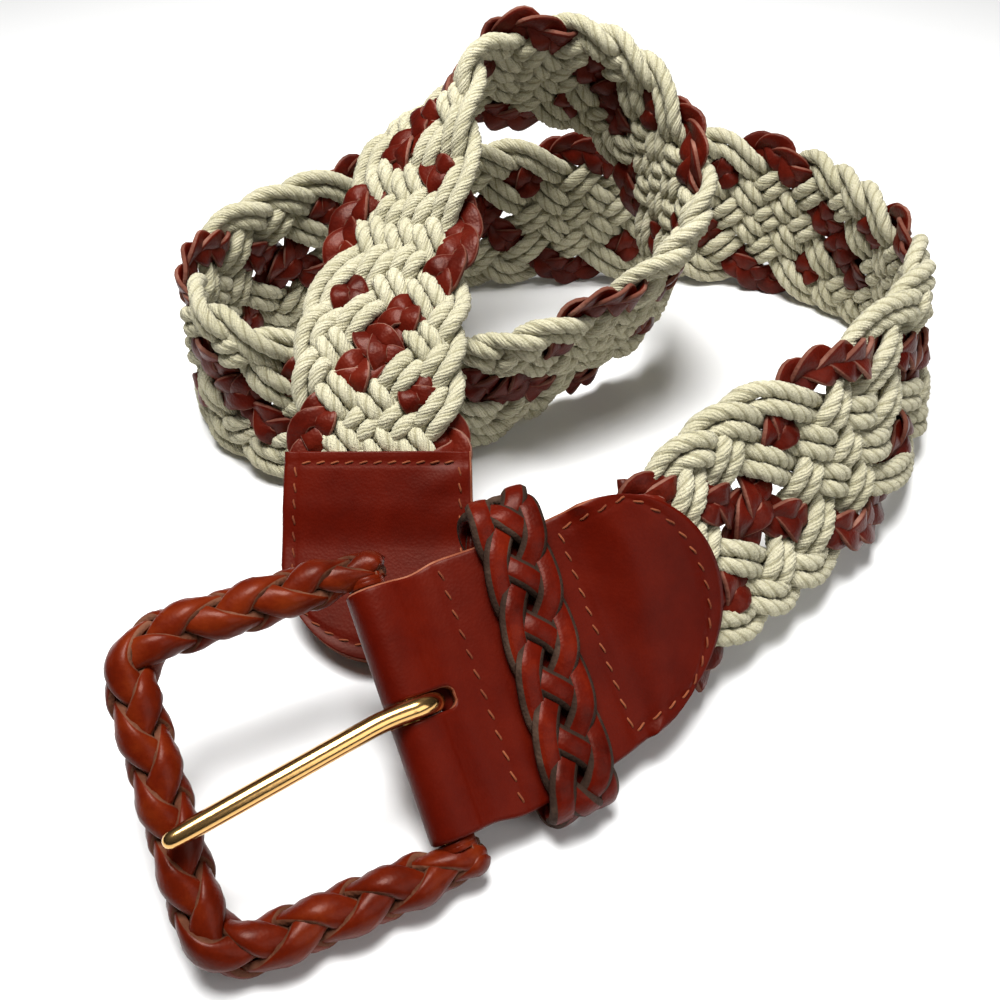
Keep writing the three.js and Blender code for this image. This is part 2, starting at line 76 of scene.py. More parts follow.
# where each strand of the weave lies in the repeat: the cotton is drawn together between the braids
PHASES = np.array([0, 1.18, 2, 2.82, 4, 5.18, 6, 6.82])
# how far the crossings are moved along the belt near its ends: at these cells, by these shares
DRAWN_AT = (0.2, 1.4, 9.6, 10.8)
DRAWN = (0.07, 0.0, 0.0, -0.085)

# count of cells, each half a repeat long, then the belt's left and right edge, as in the frame
ROUTE = np.array([
    [-1.60, -31.6, -60.0, 34.4, -13.4, -100.8, 7.6],
    [-1.49, -26.1, -57.6, 34.4, -7.9, -98.4, 7.6],
    [-1.28, -15.1, -52.8, 34.4, 2.8, -93.2, 7.6],
    [-1.07, -4.0, -47.7, 34.5, 13.4, -86.8, 7.5],
    [-0.87, 7.6, -42.0, 34.9, 24.6, -79.0, 7.0],
    [-0.60, 22.5, -36.0, 40.0, 38.5, -66.0, 6.8],
    [-0.35, 32.0, -30.5, 45.0, 53.0, -52.0, 7.0],
    [0.00, 45.8, -17.5, 48.0, 69.0, -38.0, 6.5],
    [0.50, 70.7, -2.7, 51.1, 93.0, -14.0, 6.5],
    [0.75, 88.0, 13.6, 51.8, 106.0, 9.6, 5.0],
    [1.00, 100.5, 28.0, 51.5, 114.0, 30.0, 3.5],
    [1.25, 105.0, 43.0, 50.8, 118.0, 48.0, 2.0],
    [1.50, 105.3, 55.5, 50.3, 117.0, 62.0, 1.0],
    [1.75, 102.0, 68.0, 50.0, 112.5, 72.0, 0.6],
    [2.00, 97.0, 80.0, 50.0, 105.5, 80.0, 0.5],
    [2.25, 90.0, 92.0, 50.0, 97.0, 87.0, 0.5],
    [2.50, 80.0, 102.0, 49.5, 85.0, 94.0, 0.5],
    [2.75, 67.0, 106.5, 49.5, 71.0, 98.5, 0.5],
    [3.00, 53.0, 105.5, 50.0, 56.0, 100.5, 0.5],
    [3.50, 22.0, 100.5, 50.0, 24.0, 100.0, 0.5],
    [4.00, -8.0, 96.5, 50.0, -7.0, 97.5, 0.5],
    [4.50, -38.0, 89.0, 50.0, -37.0, 90.5, 0.5],
    [5.00, -62.5, 71.0, 50.0, -62.5, 72.5, 0.5],
    [5.25, -72.5, 58.5, 50.0, -73.5, 61.0, 0.5],
    [5.50, -77.5, 43.0, 50.0, -80.0, 46.5, 0.5],
    [5.75, -75.0, 27.0, 49.0, -79.0, 30.0, 0.5],
    [6.00, -63.5, 17.5, 45.0, -68.5, 16.0, 0.8],
    [6.25, -49.0, 22.0, 37.5, -52.0, 3.5, 2.6],
    [6.50, -30.0, 25.0, 36.0, -31.0, 2.0, 2.6],
    [6.75, -13.5, 17.5, 40.0, -14.0, 11.0, 1.6],
    [7.00, 2.0, 11.5, 43.5, 3.0, 28.0, 1.8],
    [7.25, 12.5, 14.5, 46.0, 15.0, 38.0, 3.0],
    [7.50, 23.0, 19.5, 49.0, 27.5, 46.0, 6.5],
    [7.75, 36.0, 27.5, 52.0, 38.5, 54.0, 12.0],
    [8.00, 46.5, 36.0, 57.5, 43.5, 62.0, 20.0],
    [8.25, 51.5, 45.5, 64.5, 41.5, 70.0, 28.5],
    [8.50, 50.0, 56.5, 72.0, 37.0, 77.5, 38.0],
    [8.75, 43.5, 67.0, 80.0, 32.0, 85.0, 47.5],
    [9.00, 32.0, 74.5, 88.0, 26.0, 90.0, 54.5],
    [9.25, 19.5, 77.0, 92.0, 17.5, 91.5, 56.5],
    [9.50, 7.0, 76.0, 93.5, 7.0, 91.5, 57.0],
    [9.75, -3.0, 70.0, 91.0, -11.5, 89.0, 58.0],
    [10.00, -5.0, 59.5, 81.5, -29.5, 78.5, 60.0],
    [10.25, -4.8, 47.5, 69.5, -38.0, 62.5, 57.0],
    [10.50, -4.7, 36.0, 59.5, -42.0, 47.5, 52.0],
    [10.75, -5.8, 22.5, 51.5, -46.0, 28.5, 47.5],
    [11.00, -7.0, 10.0, 46.0, -48.5, 12.5, 44.0],
    [11.25, -7.5, -1.0, 40.0, -48.5, 0.0, 39.0],
    [11.50, -7.0, -9.5, 32.5, -48.5, -9.0, 32.0],
    [11.65, -6.5, -15.0, 27.8, -48.5, -15.0, 27.6],
    [12.00, -6.0, -29.5, 17.0, -48.8, -29.5, 16.8],
    [12.60, -4.5, -58.0, 1.8, -48.0, -58.0, 1.8],
])
CELLS = ROUTE[:, 0]


def unit(v):
    return v / np.linalg.norm(v, axis=-1, keepdims=True)


def route_edges(cell):
    """The left and the right edge of the belt at each cell."""
    cell = np.atleast_1d(np.asarray(cell, float))
    last = len(ROUTE) - 1
    i = np.clip(np.searchsorted(CELLS, cell, side="left") - 1, 0, last - 1)
    before, start = ROUTE[np.maximum(i - 1, 0)], ROUTE[i]
    end, after = ROUTE[i + 1], ROUTE[np.minimum(i + 2, last)]
    span = (end[:, 0] - start[:, 0])[:, None]
    w = (cell[:, None] - start[:, :1]) / span
    leaving = (end - before) / (end[:, :1] - before[:, :1]) * span
    arriving = (after - start) / (after[:, :1] - start[:, :1]) * span
    w2, w3 = w * w, w * w * w
    blend = ((2 * w3 - 3 * w2 + 1) * start + (w3 - 2 * w2 + w) * leaving
             + (3 * w2 - 2 * w3) * end + (w3 - w2) * arriving)
    return blend[:, 1:4], blend[:, 4:7]


def belt_frame(cell):
    """Middle, half width and the three unit directions of the belt at each cell."""
    cell = np.atleast_1d(np.asarray(cell, float))
    left, right = route_edges(cell)
    ahead, behind = route_edges(cell + 0.02), route_edges(cell - 0.02)
    across = left - right
    half = np.linalg.norm(across, axis=1) / 2
    across = unit(across)
    along = ahead[0] + ahead[1] - behind[0] - behind[1]
    front = unit(np.cross(along, across))
    return dict(middle=(left + right) / 2, across=across, front=front,
                along=np.cross(across, front), half=half)


def belt_point(cell, across, height):
    cell, across, height = np.broadcast_arrays(*map(np.atleast_1d, (cell, across, height)))
    f = belt_frame(cell)
    side = (across * f["half"])[:, None] * f["across"]
    return f["middle"] + side + height[:, None] * f["front"]


def length_to_cell(length):
    return BAR_CELL + np.asarray(length, float) / CELL_LENGTH


BUCKLE = {k: v[0] for k, v in belt_frame(BAR_CELL).items()}


def buckle_point(along, across, height):
    along, across, height = np.broadcast_arrays(*map(np.atleast_1d, (along, across, height)))
    return (BUCKLE["middle"] + along[:, None] * BUCKLE["along"]
            + across[:, None] * BUCKLE["across"] + height[:, None] * BUCKLE["front"])


# Meshes
def make_object(name, points, faces, materials, face_materials=None, smooth=True):
    mesh = bpy.data.meshes.new(name)
    mesh.from_pydata(((np.asarray(points) + SHIFT) * MM).tolist(), [], faces)
    for material in materials:
        mesh.materials.append(material)
    if face_materials is not None:
        mesh.polygons.foreach_set("material_index", np.asarray(face_materials, np.int32))
    mesh.polygons.foreach_set("use_smooth", [smooth] * len(mesh.polygons))
    mesh.update()
    piece = bpy.data.objects.new(name, mesh)
    bpy.context.scene.collection.objects.link(piece)
    return piece


def tube_faces(rings, sides, closed=False, offset=0, caps=True):
    """Quads of a tube of rings, wound outwards for sections that turn anticlockwise."""
    count = rings if closed else rings - 1
    i = np.arange(count)[:, None]
    k = np.arange(sides)[None, :]
    kk = (k + 1) % sides
    nxt = (i + 1) % rings
    quads = np.stack(np.broadcast_arrays(i * sides + k, i * sides + kk,
                                         nxt * sides + kk, nxt * sides + k), -1)
    faces = (quads.reshape(-1, 4) + offset).tolist()
    if not closed and caps:
        faces.append([offset + n for n in range(sides - 1, -1, -1)])
        faces.append([offset + (rings - 1) * sides + n for n in range(sides)])
    return faces


def sweep(centres, side, up, sections):
    """Points of a tube: each ring is a section laid out along two directions at its centre."""
    sections = np.broadcast_to(sections, (len(centres),) + np.shape(sections)[-2:])
    return (centres[:, None] + sections[..., :1] * side[:, None]
            + sections[..., 1:] * up[:, None]).reshape(-1, 3)


def tangents(centres, closed=False):
    if closed:
        return unit(np.roll(centres, -1, 0) - np.roll(centres, 1, 0))
    return unit(np.gradient(centres, axis=0))


def resample(curve, step):
    """Parameters along a curve of points at even arc length."""
    lengths = np.concatenate([[0], np.cumsum(np.linalg.norm(np.diff(curve, axis=0), axis=1))])
    count = max(2, int(round(lengths[-1] / step)) + 1)
    return np.interp(np.linspace(0, lengths[-1], count), lengths, np.arange(len(curve)))


def pick(values, where):
    """Rows of an array at fractional places."""
    low = np.clip(np.floor(where).astype(int), 0, len(values) - 2)
    share = where - low
    if values.ndim > 1:
        share = share[:, None]
    return values[low] * (1 - share) + values[low + 1] * share


# A flat plait
def plait_wave(n, strands):
    """Place across, from -1 to 1, of a strand after n crossings."""
    t = np.abs((n / strands + 0.5) % 2 - 1) * 2 - 1
    ends = 1 - np.abs(t)
    corner = 2 / strands
    rounded = 1 - corner / 2 - ends ** 2 / (2 * corner)
    return np.where(ends < corner, np.sign(t) * rounded, t)


def plait_lift(n, strands):
    """Height, from -1 to 1, of a strand that goes over one and under one."""
    n = (n + strands / 2) % (2 * strands)
    sweep_sign = np.where(n < strands, 1.0, -1.0)
    lift = sweep_sign * np.cos(math.pi * n)
    near_start = n < 1
    near_middle = np.abs(n - strands) < 1
    near_end = n > 2 * strands - 1
    lift = np.where(near_start, -np.sin(math.pi / 2 * n), lift)
    lift = np.where(near_middle, np.sin(math.pi / 2 * (n - strands)), lift)
    return np.where(near_end, -np.sin(math.pi / 2 * (n - 2 * strands)), lift)


# Materials
def new_material(name, colour, roughness, metallic=0.0):
    material = bpy.data.materials.new(name)
    material.use_nodes = True
    shader = material.node_tree.nodes["Principled BSDF"]
    shader.inputs["Base Color"].default_value = (*colour, 1)
    shader.inputs["Roughness"].default_value = roughness
    shader.inputs["Metallic"].default_value = metallic
    return material, shader


def add_noise(material, scale, detail=4.0, roughness=0.6, stretch=(1, 1, 1)):
    nodes, links = material.node_tree.nodes, material.node_tree.links
    coords = nodes.new("ShaderNodeTexCoord")
    mapping = nodes.new("ShaderNodeMapping")
    mapping.inputs["Scale"].default_value = stretch
    noise = nodes.new("ShaderNodeTexNoise")
    noise.inputs["Scale"].default_value = scale
    noise.inputs["Detail"].default_value = detail
    noise.inputs["Roughness"].default_value = roughness
    links.new(coords.outputs["Object"], mapping.inputs["Vector"])
    links.new(mapping.outputs["Vector"], noise.inputs["Vector"])
    return noise.outputs["Fac"]


def add_ramp(material, factor, stops):
    nodes, links = material.node_tree.nodes, material.node_tree.links
    ramp = nodes.new("ShaderNodeValToRGB")
    ramp.color_ramp.elements[0].position = stops[0][0]
    ramp.color_ramp.elements[0].color = (*stops[0][1], 1)
    ramp.color_ramp.elements[1].position = stops[-1][0]
    ramp.color_ramp.elements[1].color = (*stops[-1][1], 1)
    for place, colour in stops[1:-1]:
        ramp.color_ramp.elements.new(place).color = (*colour, 1)
    links.new(factor, ramp.inputs["Fac"])
    return ramp.outputs["Color"]


def add_bump(material, shader, height, distance, strength=1.0, normal=None):
    nodes, links = material.node_tree.nodes, material.node_tree.links
    bump = nodes.new("ShaderNodeBump")
    bump.inputs["Distance"].default_value = distance
    bump.inputs["Strength"].default_value = strength
    links.new(height, bump.inputs["Height"])
    if normal is not None:
        links.new(normal, bump.inputs["Normal"])
    links.new(bump.outputs["Normal"], shader.inputs["Normal"])
    return bump.outputs["Normal"]


def add_math(material, operation, first, second, third=0.0):
    node = material.node_tree.nodes.new("ShaderNodeMath")
    node.operation = operation
    for socket, value in zip(node.inputs, (first, second, third)):
        if isinstance(value, float):
            socket.default_value = value
        else:
            material.node_tree.links.new(value, socket)
    return node.outputs[0]


def add_lines(material, place, count, wobble):
    """0 at each line round a cord and 1 between the lines."""
    angle = add_math(material, "MULTIPLY_ADD", place, count * math.pi, wobble)
    return add_math(material, "ABSOLUTE", add_math(material, "SINE", angle, 0.0), 0.0)


def multiply_colours(material, first, second, share):
    nodes, links = material.node_tree.nodes, material.node_tree.links
    mix = nodes.new("ShaderNodeMix")
    mix.data_type = "RGBA"
    mix.blend_type = "MULTIPLY"
    mix.inputs["Factor"].default_value = share
    links.new(first, mix.inputs["A"])
    links.new(second, mix.inputs["B"])
    return mix.outputs["Result"]


def cotton_material(name, dark, light):
    material, shader = new_material(name, light, 0.92)
    links = material.node_tree.links
    colour = add_ramp(material, add_noise(material, 55, 5, 0.7), [(0.35, dark), (0.65, light)])
    links.new(colour, shader.inputs["Base Color"])
    shader.inputs["Specular IOR Level"].default_value = 0.15
    normal = add_bump(material, shader, add_noise(material, 1500, 6, 0.75), 0.0003, 0.5)
    add_bump(material, shader, add_noise(material, 420, 3, 0.6), 0.0004, 0.4, normal)
    return material


def add_fibres(material, around, along):
    """Noise drawn out along the yarns of a cord."""
    nodes, links = material.node_tree.nodes, material.node_tree.links
    across = add_math(material, "MULTIPLY_ADD", along, 0.15, around)
    combine = nodes.new("ShaderNodeCombineXYZ")
    links.new(add_math(material, "MULTIPLY", across, 34.0), combine.inputs["X"])
    links.new(add_math(material, "MULTIPLY", along, 0.9), combine.inputs["Y"])
    fibres = nodes.new("ShaderNodeTexNoise")
    fibres.inputs["Scale"].default_value = 1.0
    fibres.inputs["Detail"].default_value = 5
    fibres.inputs["Roughness"].default_value = 0.7
    links.new(combine.outputs[0], fibres.inputs["Vector"])
    return fibres.outputs["Fac"]


def cord_material():
    """Twisted cotton: painted shade along the lines between the plies, yarns along them and fibres along
    the cord.
    """
    material, shader = new_material("cord", (0.6, 0.6, 0.4), 0.95)
    nodes, links = material.node_tree.nodes, material.node_tree.links
    shader.inputs["Specular IOR Level"].default_value = 0.12
    shader.inputs["Sheen Weight"].default_value = 0.15
    shader.inputs["Sheen Roughness"].default_value = 0.5
    coords = nodes.new("ShaderNodeTexCoord")
    split = nodes.new("ShaderNodeSeparateXYZ")
    links.new(coords.outputs["UV"], split.inputs[0])
    around, along = split.outputs["X"], split.outputs["Y"]
    ply_wobble = add_math(material, "MULTIPLY", add_noise(material, 500, 3, 0.6), 0.5)
    yarn_wobble = add_math(material, "MULTIPLY", add_noise(material, 350, 3, 0.6), 5.0)
    ply = add_lines(material, around, 3.0, ply_wobble)
    yarn = add_lines(material, around, 12.0, yarn_wobble)
    fibres = add_fibres(material, around, along)
    cloud = add_ramp(material, add_noise(material, 60, 5, 0.7),
                     [(0.3, (0.44, 0.41, 0.275)), (0.7, (0.59, 0.55, 0.40))])
    # painted shade: the colour is darkened along the ply lines, where shade falls in the grooves between
    # the plies
    painted_groove_shade = add_ramp(material, ply,
                       [(0.0, (0.55, 0.53, 0.46)), (0.3, (0.9, 0.9, 0.87)), (0.6, (1, 1, 1))])
    streaks = add_ramp(material, fibres, [(0.34, (0.66, 0.65, 0.56)), (0.58, (1, 1, 1))])
    colour = multiply_colours(material, cloud, painted_groove_shade, 1.0)
    links.new(multiply_colours(material, colour, streaks, 0.8), shader.inputs["Base Color"])
    normal = add_bump(material, shader, fibres, 0.0005, 0.8)
    normal = add_bump(material, shader, yarn, 0.00025, 0.6, normal)
    add_bump(material, shader, add_noise(material, 1600, 4, 0.7), 0.0002, 0.5, normal)
    return material


def leather_material(name, dark, middle, light, roughness, coat, grain=1.0, specular=0.22):
    material, shader = new_material(name, middle, roughness)
    nodes, links = material.node_tree.nodes, material.node_tree.links
    colour = add_ramp(material, add_noise(material, 70, 6, 0.65),
                      [(0.3, dark), (0.5, middle), (0.72, light)])
    links.new(colour, shader.inputs["Base Color"])
    shader.inputs["Specular IOR Level"].default_value = specular
    shader.inputs["Specular Tint"].default_value = (1.0, 0.55, 0.4, 1)
    shader.inputs["Coat Weight"].default_value = coat
    shader.inputs["Coat Roughness"].default_value = 0.25
    rough = nodes.new("ShaderNodeMapRange")
    rough.inputs["To Min"].default_value = max(roughness - 0.1, 0.05)
    rough.inputs["To Max"].default_value = roughness + 0.14
    links.new(add_noise(material, 260, 4, 0.6), rough.inputs["Value"])
    links.new(rough.outputs["Result"], shader.inputs["Roughness"])
    cells = nodes.new("ShaderNodeTexVoronoi")
    coords = nodes.new("ShaderNodeTexCoord")
    cells.inputs["Scale"].default_value = 1500
    links.new(coords.outputs["Object"], cells.inputs["Vector"])
    normal = add_bump(material, shader, cells.outputs["Distance"], 0.00012 * grain, 0.5)
    add_bump(material, shader, add_noise(material, 330, 5, 0.6), 0.00015 * grain, 0.3, normal)
    return material


def build_materials():
    m = {"cord": cord_material()}
    m["leather"] = leather_material("leather", (0.045, 0.0018, 0.0005), (0.060, 0.0026, 0.0006),
                                    (0.076, 0.0040, 0.0009), 0.42, 0.03, 0.6, 0.09)
    m["raw"] = leather_material("raw_edge", (0.10, 0.022, 0.010), (0.18, 0.052, 0.026),
                                (0.32, 0.13, 0.075), 0.8, 0.0, 2.0)
    m["lace"] = leather_material("lace", (0.025, 0.0014, 0.0006), (0.060, 0.0038, 0.0015),
                                 (0.10, 0.009, 0.0035), 0.40, 0.06, 1.2, 0.14)
    m["lace_edge"] = leather_material("lace_edge", (0.05, 0.010, 0.006), (0.12, 0.042, 0.028),
                                      (0.26, 0.13, 0.095), 0.8, 0.0, 2.0)
    m["wrap"] = leather_material("wrap_leather", (0.038, 0.0025, 0.0006), (0.078, 0.0060, 0.0010),
                                 (0.13, 0.016, 0.0025), 0.34, 0.07, 0.6, 0.10)
    m["wrap_edge"] = leather_material("wrap_edge", (0.035, 0.009, 0.004), (0.080, 0.027, 0.014),
                                      (0.16, 0.066, 0.038), 0.75, 0.0, 2.0)
    m["keeper"] = leather_material("keeper_leather", (0.030, 0.0014, 0.0005), (0.074, 0.0038, 0.0010),
                                   (0.14, 0.011, 0.0025), 0.36, 0.04, 0.8, 0.09)
    m["keeper_edge"] = leather_material("keeper_edge", (0.010, 0.006, 0.004), (0.024, 0.014, 0.010),
                                        (0.085, 0.052, 0.036), 0.8, 0.0, 2.0)
    m["thread"] = cotton_material("thread", (0.10, 0.020, 0.008), (0.23, 0.066, 0.026))
    m["brass"], brass = new_material("brass", (0.64, 0.38, 0.14), 0.18, 1.0)
    add_bump(m["brass"], brass, add_noise(m["brass"], 500, 4, 0.6), 0.0001, 0.2)
    m["bar"], bar = new_material("bar_brass", (0.35, 0.22, 0.08), 0.4, 1.0)
    add_bump(m["bar"], bar, add_noise(m["bar"], 700, 4, 0.6), 0.0002, 0.4)
    return m


MATERIALS = build_materials()


# The woven strap
def crossing_count(m, index):
    """Turns a strand's place in the repeat into its count of crossings, whole at each crossing."""
    strands = WEAVE["strands"]
    others = np.arange(strands)
    places = (PHASES[index] - PHASES[others]) % strands
    counts = (index - others) % strands
    order = np.argsort(places)
    places = np.append(places[order], strands)
    counts = np.append(counts[order], strands)
    turns = np.floor(m / strands)
    return turns * strands + np.interp(m - turns * strands, places, counts)


def strand_path(index):
    """Cells, places across and heights of one strand of the strap's plait."""
    cell = np.arange(WEAVE["start"], WEAVE["end"], WEAVE["step"])
    strands = WEAVE["strands"]
    n = (cell + smooth_steps(cell, DRAWN_AT, DRAWN)) * strands + 2 * PHASES[index]
    count = crossing_count(n + strands / 2, index) - strands / 2
    return cell, plait_wave(n, strands), -plait_lift(count, strands)


def strand_frame(index):
    """Centres, sideways and upwards directions of a strand, at even steps of its path."""
    cell, across, lift = strand_path(index)
    f = belt_frame(cell)
    reach = f["half"] - 2 * WEAVE["cord"] - WEAVE["margin"]
    side = across * reach / WEAVE["inset"]
    from_end = np.minimum(cell - WEAVE["start"], WEAVE["end"] - cell)
    fade = np.clip(from_end / WEAVE["fade"], 0, 1)
    rise = lift * WEAVE["lift"] * (0.35 + 0.65 * fade * fade * (3 - 2 * fade))
    centres = f["middle"] + side[:, None] * f["across"]
    along = tangents(centres)
    sideways = unit(np.cross(f["front"], along))
    return centres + rise[:, None] * f["front"], sideways, f["front"]


PLY = np.array([0.86, 0.965, 1.0, 1.0, 0.965] * 3)


def cord_section(twist):
    """A three-ply cord's outline, turned by its twist at each ring."""
    angle = np.arange(len(PLY)) * 2 * math.pi / len(PLY)
    turned = angle[None, :] + twist[:, None]
    return np.stack([PLY * np.cos(turned), PLY * np.sin(turned)], -1) * WEAVE["cord"]


def tube_uvs(rings, sides, step):
    """Round the tube in u and along it in v, corner by corner, in the order of its faces."""
    i, k = np.meshgrid(np.arange(rings - 1), np.arange(sides), indexing="ij")
    corners = [(i, k), (i, k + 1), (i + 1, k + 1), (i + 1, k)]
    uv = np.stack([np.stack([kk / sides, ii * step], -1) for ii, kk in corners], 2)
    return np.concatenate([uv.reshape(-1, 2), np.zeros((2 * sides, 2))])


def cord_pair(index):
    centres, sideways, up = strand_frame(index)
    points, faces, uvs = [], [], []
    step, sides = CORD["step"], len(PLY)
    for part, offset in enumerate((-1, 1)):
        line = centres + offset * CORD["apart"] * WEAVE["cord"] * sideways
        where = resample(line, step)
        line = pick(line, where)
        side, high = unit(pick(sideways, where)), unit(pick(up, where))
        along = tangents(line)
        high = unit(np.cross(along, np.cross(high, along)))
        side = np.cross(high, along)
        lay = CORD["lay"] + CORD["uneven"] * math.sin(5 * index + 3 * part)
        twist = np.arange(len(line)) * step * 2 * math.pi / lay + index + 2 * part
        faces += tube_faces(len(line), sides, offset=sum(map(len, points)))
        points.append(sweep(line, side, high, cord_section(twist)))
        uvs.append(tube_uvs(len(line), sides, step))
    piece = make_object(f"cord_pair_{index}", np.concatenate(points), faces, [MATERIALS["cord"]])
    layer = piece.data.uv_layers.new(name="along_ply")
    layer.data.foreach_set("uv", np.concatenate(uvs).ravel())
    return piece


RIBBON = np.array([[1.0, -0.55], [1.0, 0.6], [0.9, 0.96], [0.45, 1.1], [-0.45, 1.1],
                   [-0.9, 0.96], [-1.0, 0.6], [-1.0, -0.55], [-0.7, -0.95], [0.7, -0.95]])
RIBBON_EDGE = [True, False, False, False, False, False, True, False, False, False]
BROAD_EDGE = [True, True, False, False, False, True, True, False, False, False]


def ribbon_materials(rings, closed=False, edges=RIBBON_EDGE):
    """Raw edges take the second material."""
    count = rings if closed else rings - 1
    marks = [1 if edge else 0 for edge in edges] * count
    return marks if closed else marks + [1, 1]


def lace_braid(index):
    """One leather strand of the strap: a three-strand braid of flat lace."""
    centres, sideways, up = strand_frame(index)
    where = resample(centres, LACE["step"])
    centres, sideways, up = pick(centres, where), unit(pick(sideways, where)), unit(pick(up, where))
    points, faces, marks = [], [], []
    s = np.arange(len(centres)) * LACE["step"]
    for strand in range(LACE["count"]):
        phase = 2 * math.pi * (s / LACE["pitch"] + strand / LACE["count"])
        phase = phase + 0.12 * np.sin(s / 9 + 4 * index + strand)
        swing = LACE["reach"] * np.sin(phase) + LACE["wave"] * np.sin(3 * phase)
        rise = LACE["lift"] * np.sin(2 * phase)
        line = centres + swing[:, None] * sideways + rise[:, None] * up
        along = tangents(line)
        high = unit(np.cross(along, np.cross(up, along)))
        side = np.cross(high, along)
        tilt = LACE["tilt"] * np.cos(phase) + 0.1 * np.sin(s / 7 + 2 * strand + index)
        side, high = (side * np.cos(tilt)[:, None] + high * np.sin(tilt)[:, None],
                      high * np.cos(tilt)[:, None] - side * np.sin(tilt)[:, None])
        faces += tube_faces(len(line), len(RIBBON), offset=sum(map(len, points)))
        marks += ribbon_materials(len(line), edges=BROAD_EDGE)
        points.append(sweep(line, side, high, RIBBON * [LACE["wide"], LACE["thick"]]))
    return make_object(f"lace_braid_{index}", np.concatenate(points), faces,
                       [MATERIALS["lace"], MATERIALS["lace_edge"]], marks)


# Leather tabs
def smooth_steps(x, places, values):
    """Values joined by smooth ramps."""
    x = np.asarray(x, float)
    result = np.full(x.shape, float(values[0]))
    for n in range(len(places) - 1):
        w = np.clip((x - places[n]) / (places[n + 1] - places[n]), 0, 1)
        result = result + (values[n + 1] - values[n]) * w * w * (3 - 2 * w)
    return result


def round_end(across):
    return np.sqrt(1 - (0.985 * np.clip(across, -1, 1)) ** 2)


def tab_point(along, across, height):
    """A point of the buckle tab by length past the bar, share of half its width, and height."""
    along, across, height = np.broadcast_arrays(*map(np.atleast_1d, (along, across, height)))
    past = np.maximum(along - TAB["round_start"], 0)
    reach = np.minimum(along, TAB["round_start"]) + past * round_end(across)
    w = np.clip((along - TAB["narrow_to"]) / (TAB["wide_from"] - TAB["narrow_to"]), 0, 1)
    width = TAB["narrow"] + (1 - TAB["narrow"]) * w * w * (3 - 2 * w)
    flat = buckle_point(along, across * width * BUCKLE["half"], height)
    laid = belt_point(length_to_cell(reach), across * width, height)
    return np.where((along <= TAB["level"])[:, None], flat, laid)


def tab_half(x):
    """Half of the tab's thickness at a length past the bar."""
    places = [0, TAB["seam_start"], TAB["seam_end"], TAB["pocket"] + 2]
    return smooth_steps(x, places, [TAB["fold"], TAB["seam_half"], TAB["seam_half"], TAB["end_half"]])


def tab_profile(step=1.0):
    """Mid-line of the folded leather: from the front layer's end round the bar to the back's end."""
    half = TAB["leather"] / 2
    # the steps are finer round the end of the slot
    far, near = 10, 4
    front_x = np.concatenate([np.arange(TAB["length"], far, -step),
                              np.arange(far, near, -step * 0.4),
                              np.arange(near, 0, -step)])
    front_h = tab_half(front_x) - half
    angle = np.linspace(0.5 * math.pi, 1.5 * math.pi, 14)
    radius = TAB["fold"] - half
    fold_x, fold_h = radius * np.cos(angle), radius * np.sin(angle)
    x = np.concatenate([front_x, fold_x, front_x[::-1]])
    h = np.concatenate([front_h, fold_h, -front_h[::-1]])
    line = np.stack([x, h], 1)
    normal = unit(np.gradient(line, axis=0))
    normal = np.stack([normal[:, 1], -normal[:, 0]], 1)
    return line, normal


def sheet_grid(place, rows, across, thickness, skip, name, materials, raw_side=False):
    """A leather sheet with rolled edges: place(row, across, offset) gives points of its two faces."""
    columns = len(across)
    edge = 1 - np.abs(across)
    roll = np.clip(edge / 0.035, 0, 1)
    swell = 0.55 + 0.45 * np.sqrt(1 - (1 - roll) ** 2)
    points = []
    for side in (1, -1):
        for row in range(rows):
            points.append(place(row, across, side * thickness / 2 * swell))
    points = np.concatenate(points)
    back = rows * columns
    faces, marks = [], []

    def quad(a, b, c, d, mark):
        faces.append((a, b, c, d))
        marks.append(mark)

    def is_open(i, j):
        return i < 0 or j < 0 or i >= rows - 1 or j >= columns - 1 or skip(i, j)

    for i in range(rows - 1):
        for j in range(columns - 1):
            if is_open(i, j):
                continue
            a, b, c, d = (i * columns + j, (i + 1) * columns + j,
                          (i + 1) * columns + j + 1, i * columns + j + 1)
            strip = 1 if raw_side and j == columns - 2 else 0
            quad(a, b, c, d, strip)
            quad(d + back, c + back, b + back, a + back, strip)
            if is_open(i, j - 1):
                quad(b, a, a + back, b + back, 1)
            if is_open(i, j + 1):
                quad(d, c, c + back, d + back, 1)
            if is_open(i - 1, j):
                quad(a, d, d + back, a + back, 1)
            if is_open(i + 1, j):
                quad(c, b, b + back, c + back, 1)
    return make_object(name, points, faces, materials, marks)


def groove(distance, width):
    """A soft groove's share of its depth at a distance from its middle."""
    return np.exp(-(distance / width) ** 2)


def dimple(x, across):
    """How far the leather is drawn in along the seams."""
    seams = groove(x - SEAMS["first"], 0.7) + groove(x - SEAMS["second"], 0.7)
    rim = groove(x - SEAMS["rim"], 0.8) * (np.abs(across) < 0.9)
    sides = groove(np.abs(across) - SEAMS["side"], 0.03) * (x > SEAMS["second"])
    return -SEAMS["depth"] * np.clip(seams + rim + sides, 0, 1)


def beside_slot(x, h, across):
    """Places across, drawn together round the end of the slot and all along it in the back layer."""
    into = np.clip((x - SLOT["end"] + SLOT["round"]) / SLOT["round"], 0, 1)
    fade = np.clip((x - SLOT["end"]) / SLOT["fade"], 0, 1)
    narrow = 1 - (1 - math.sqrt(1 - 0.95 * into * into)) * (1 - fade)
    if h < 0:
        narrow = SLOT["behind"]
    outer = np.clip((np.abs(across) - SLOT["share"]) / (SLOT["spread"] - SLOT["share"]), 0, 1)
    return across * (narrow + (1 - narrow) * outer)


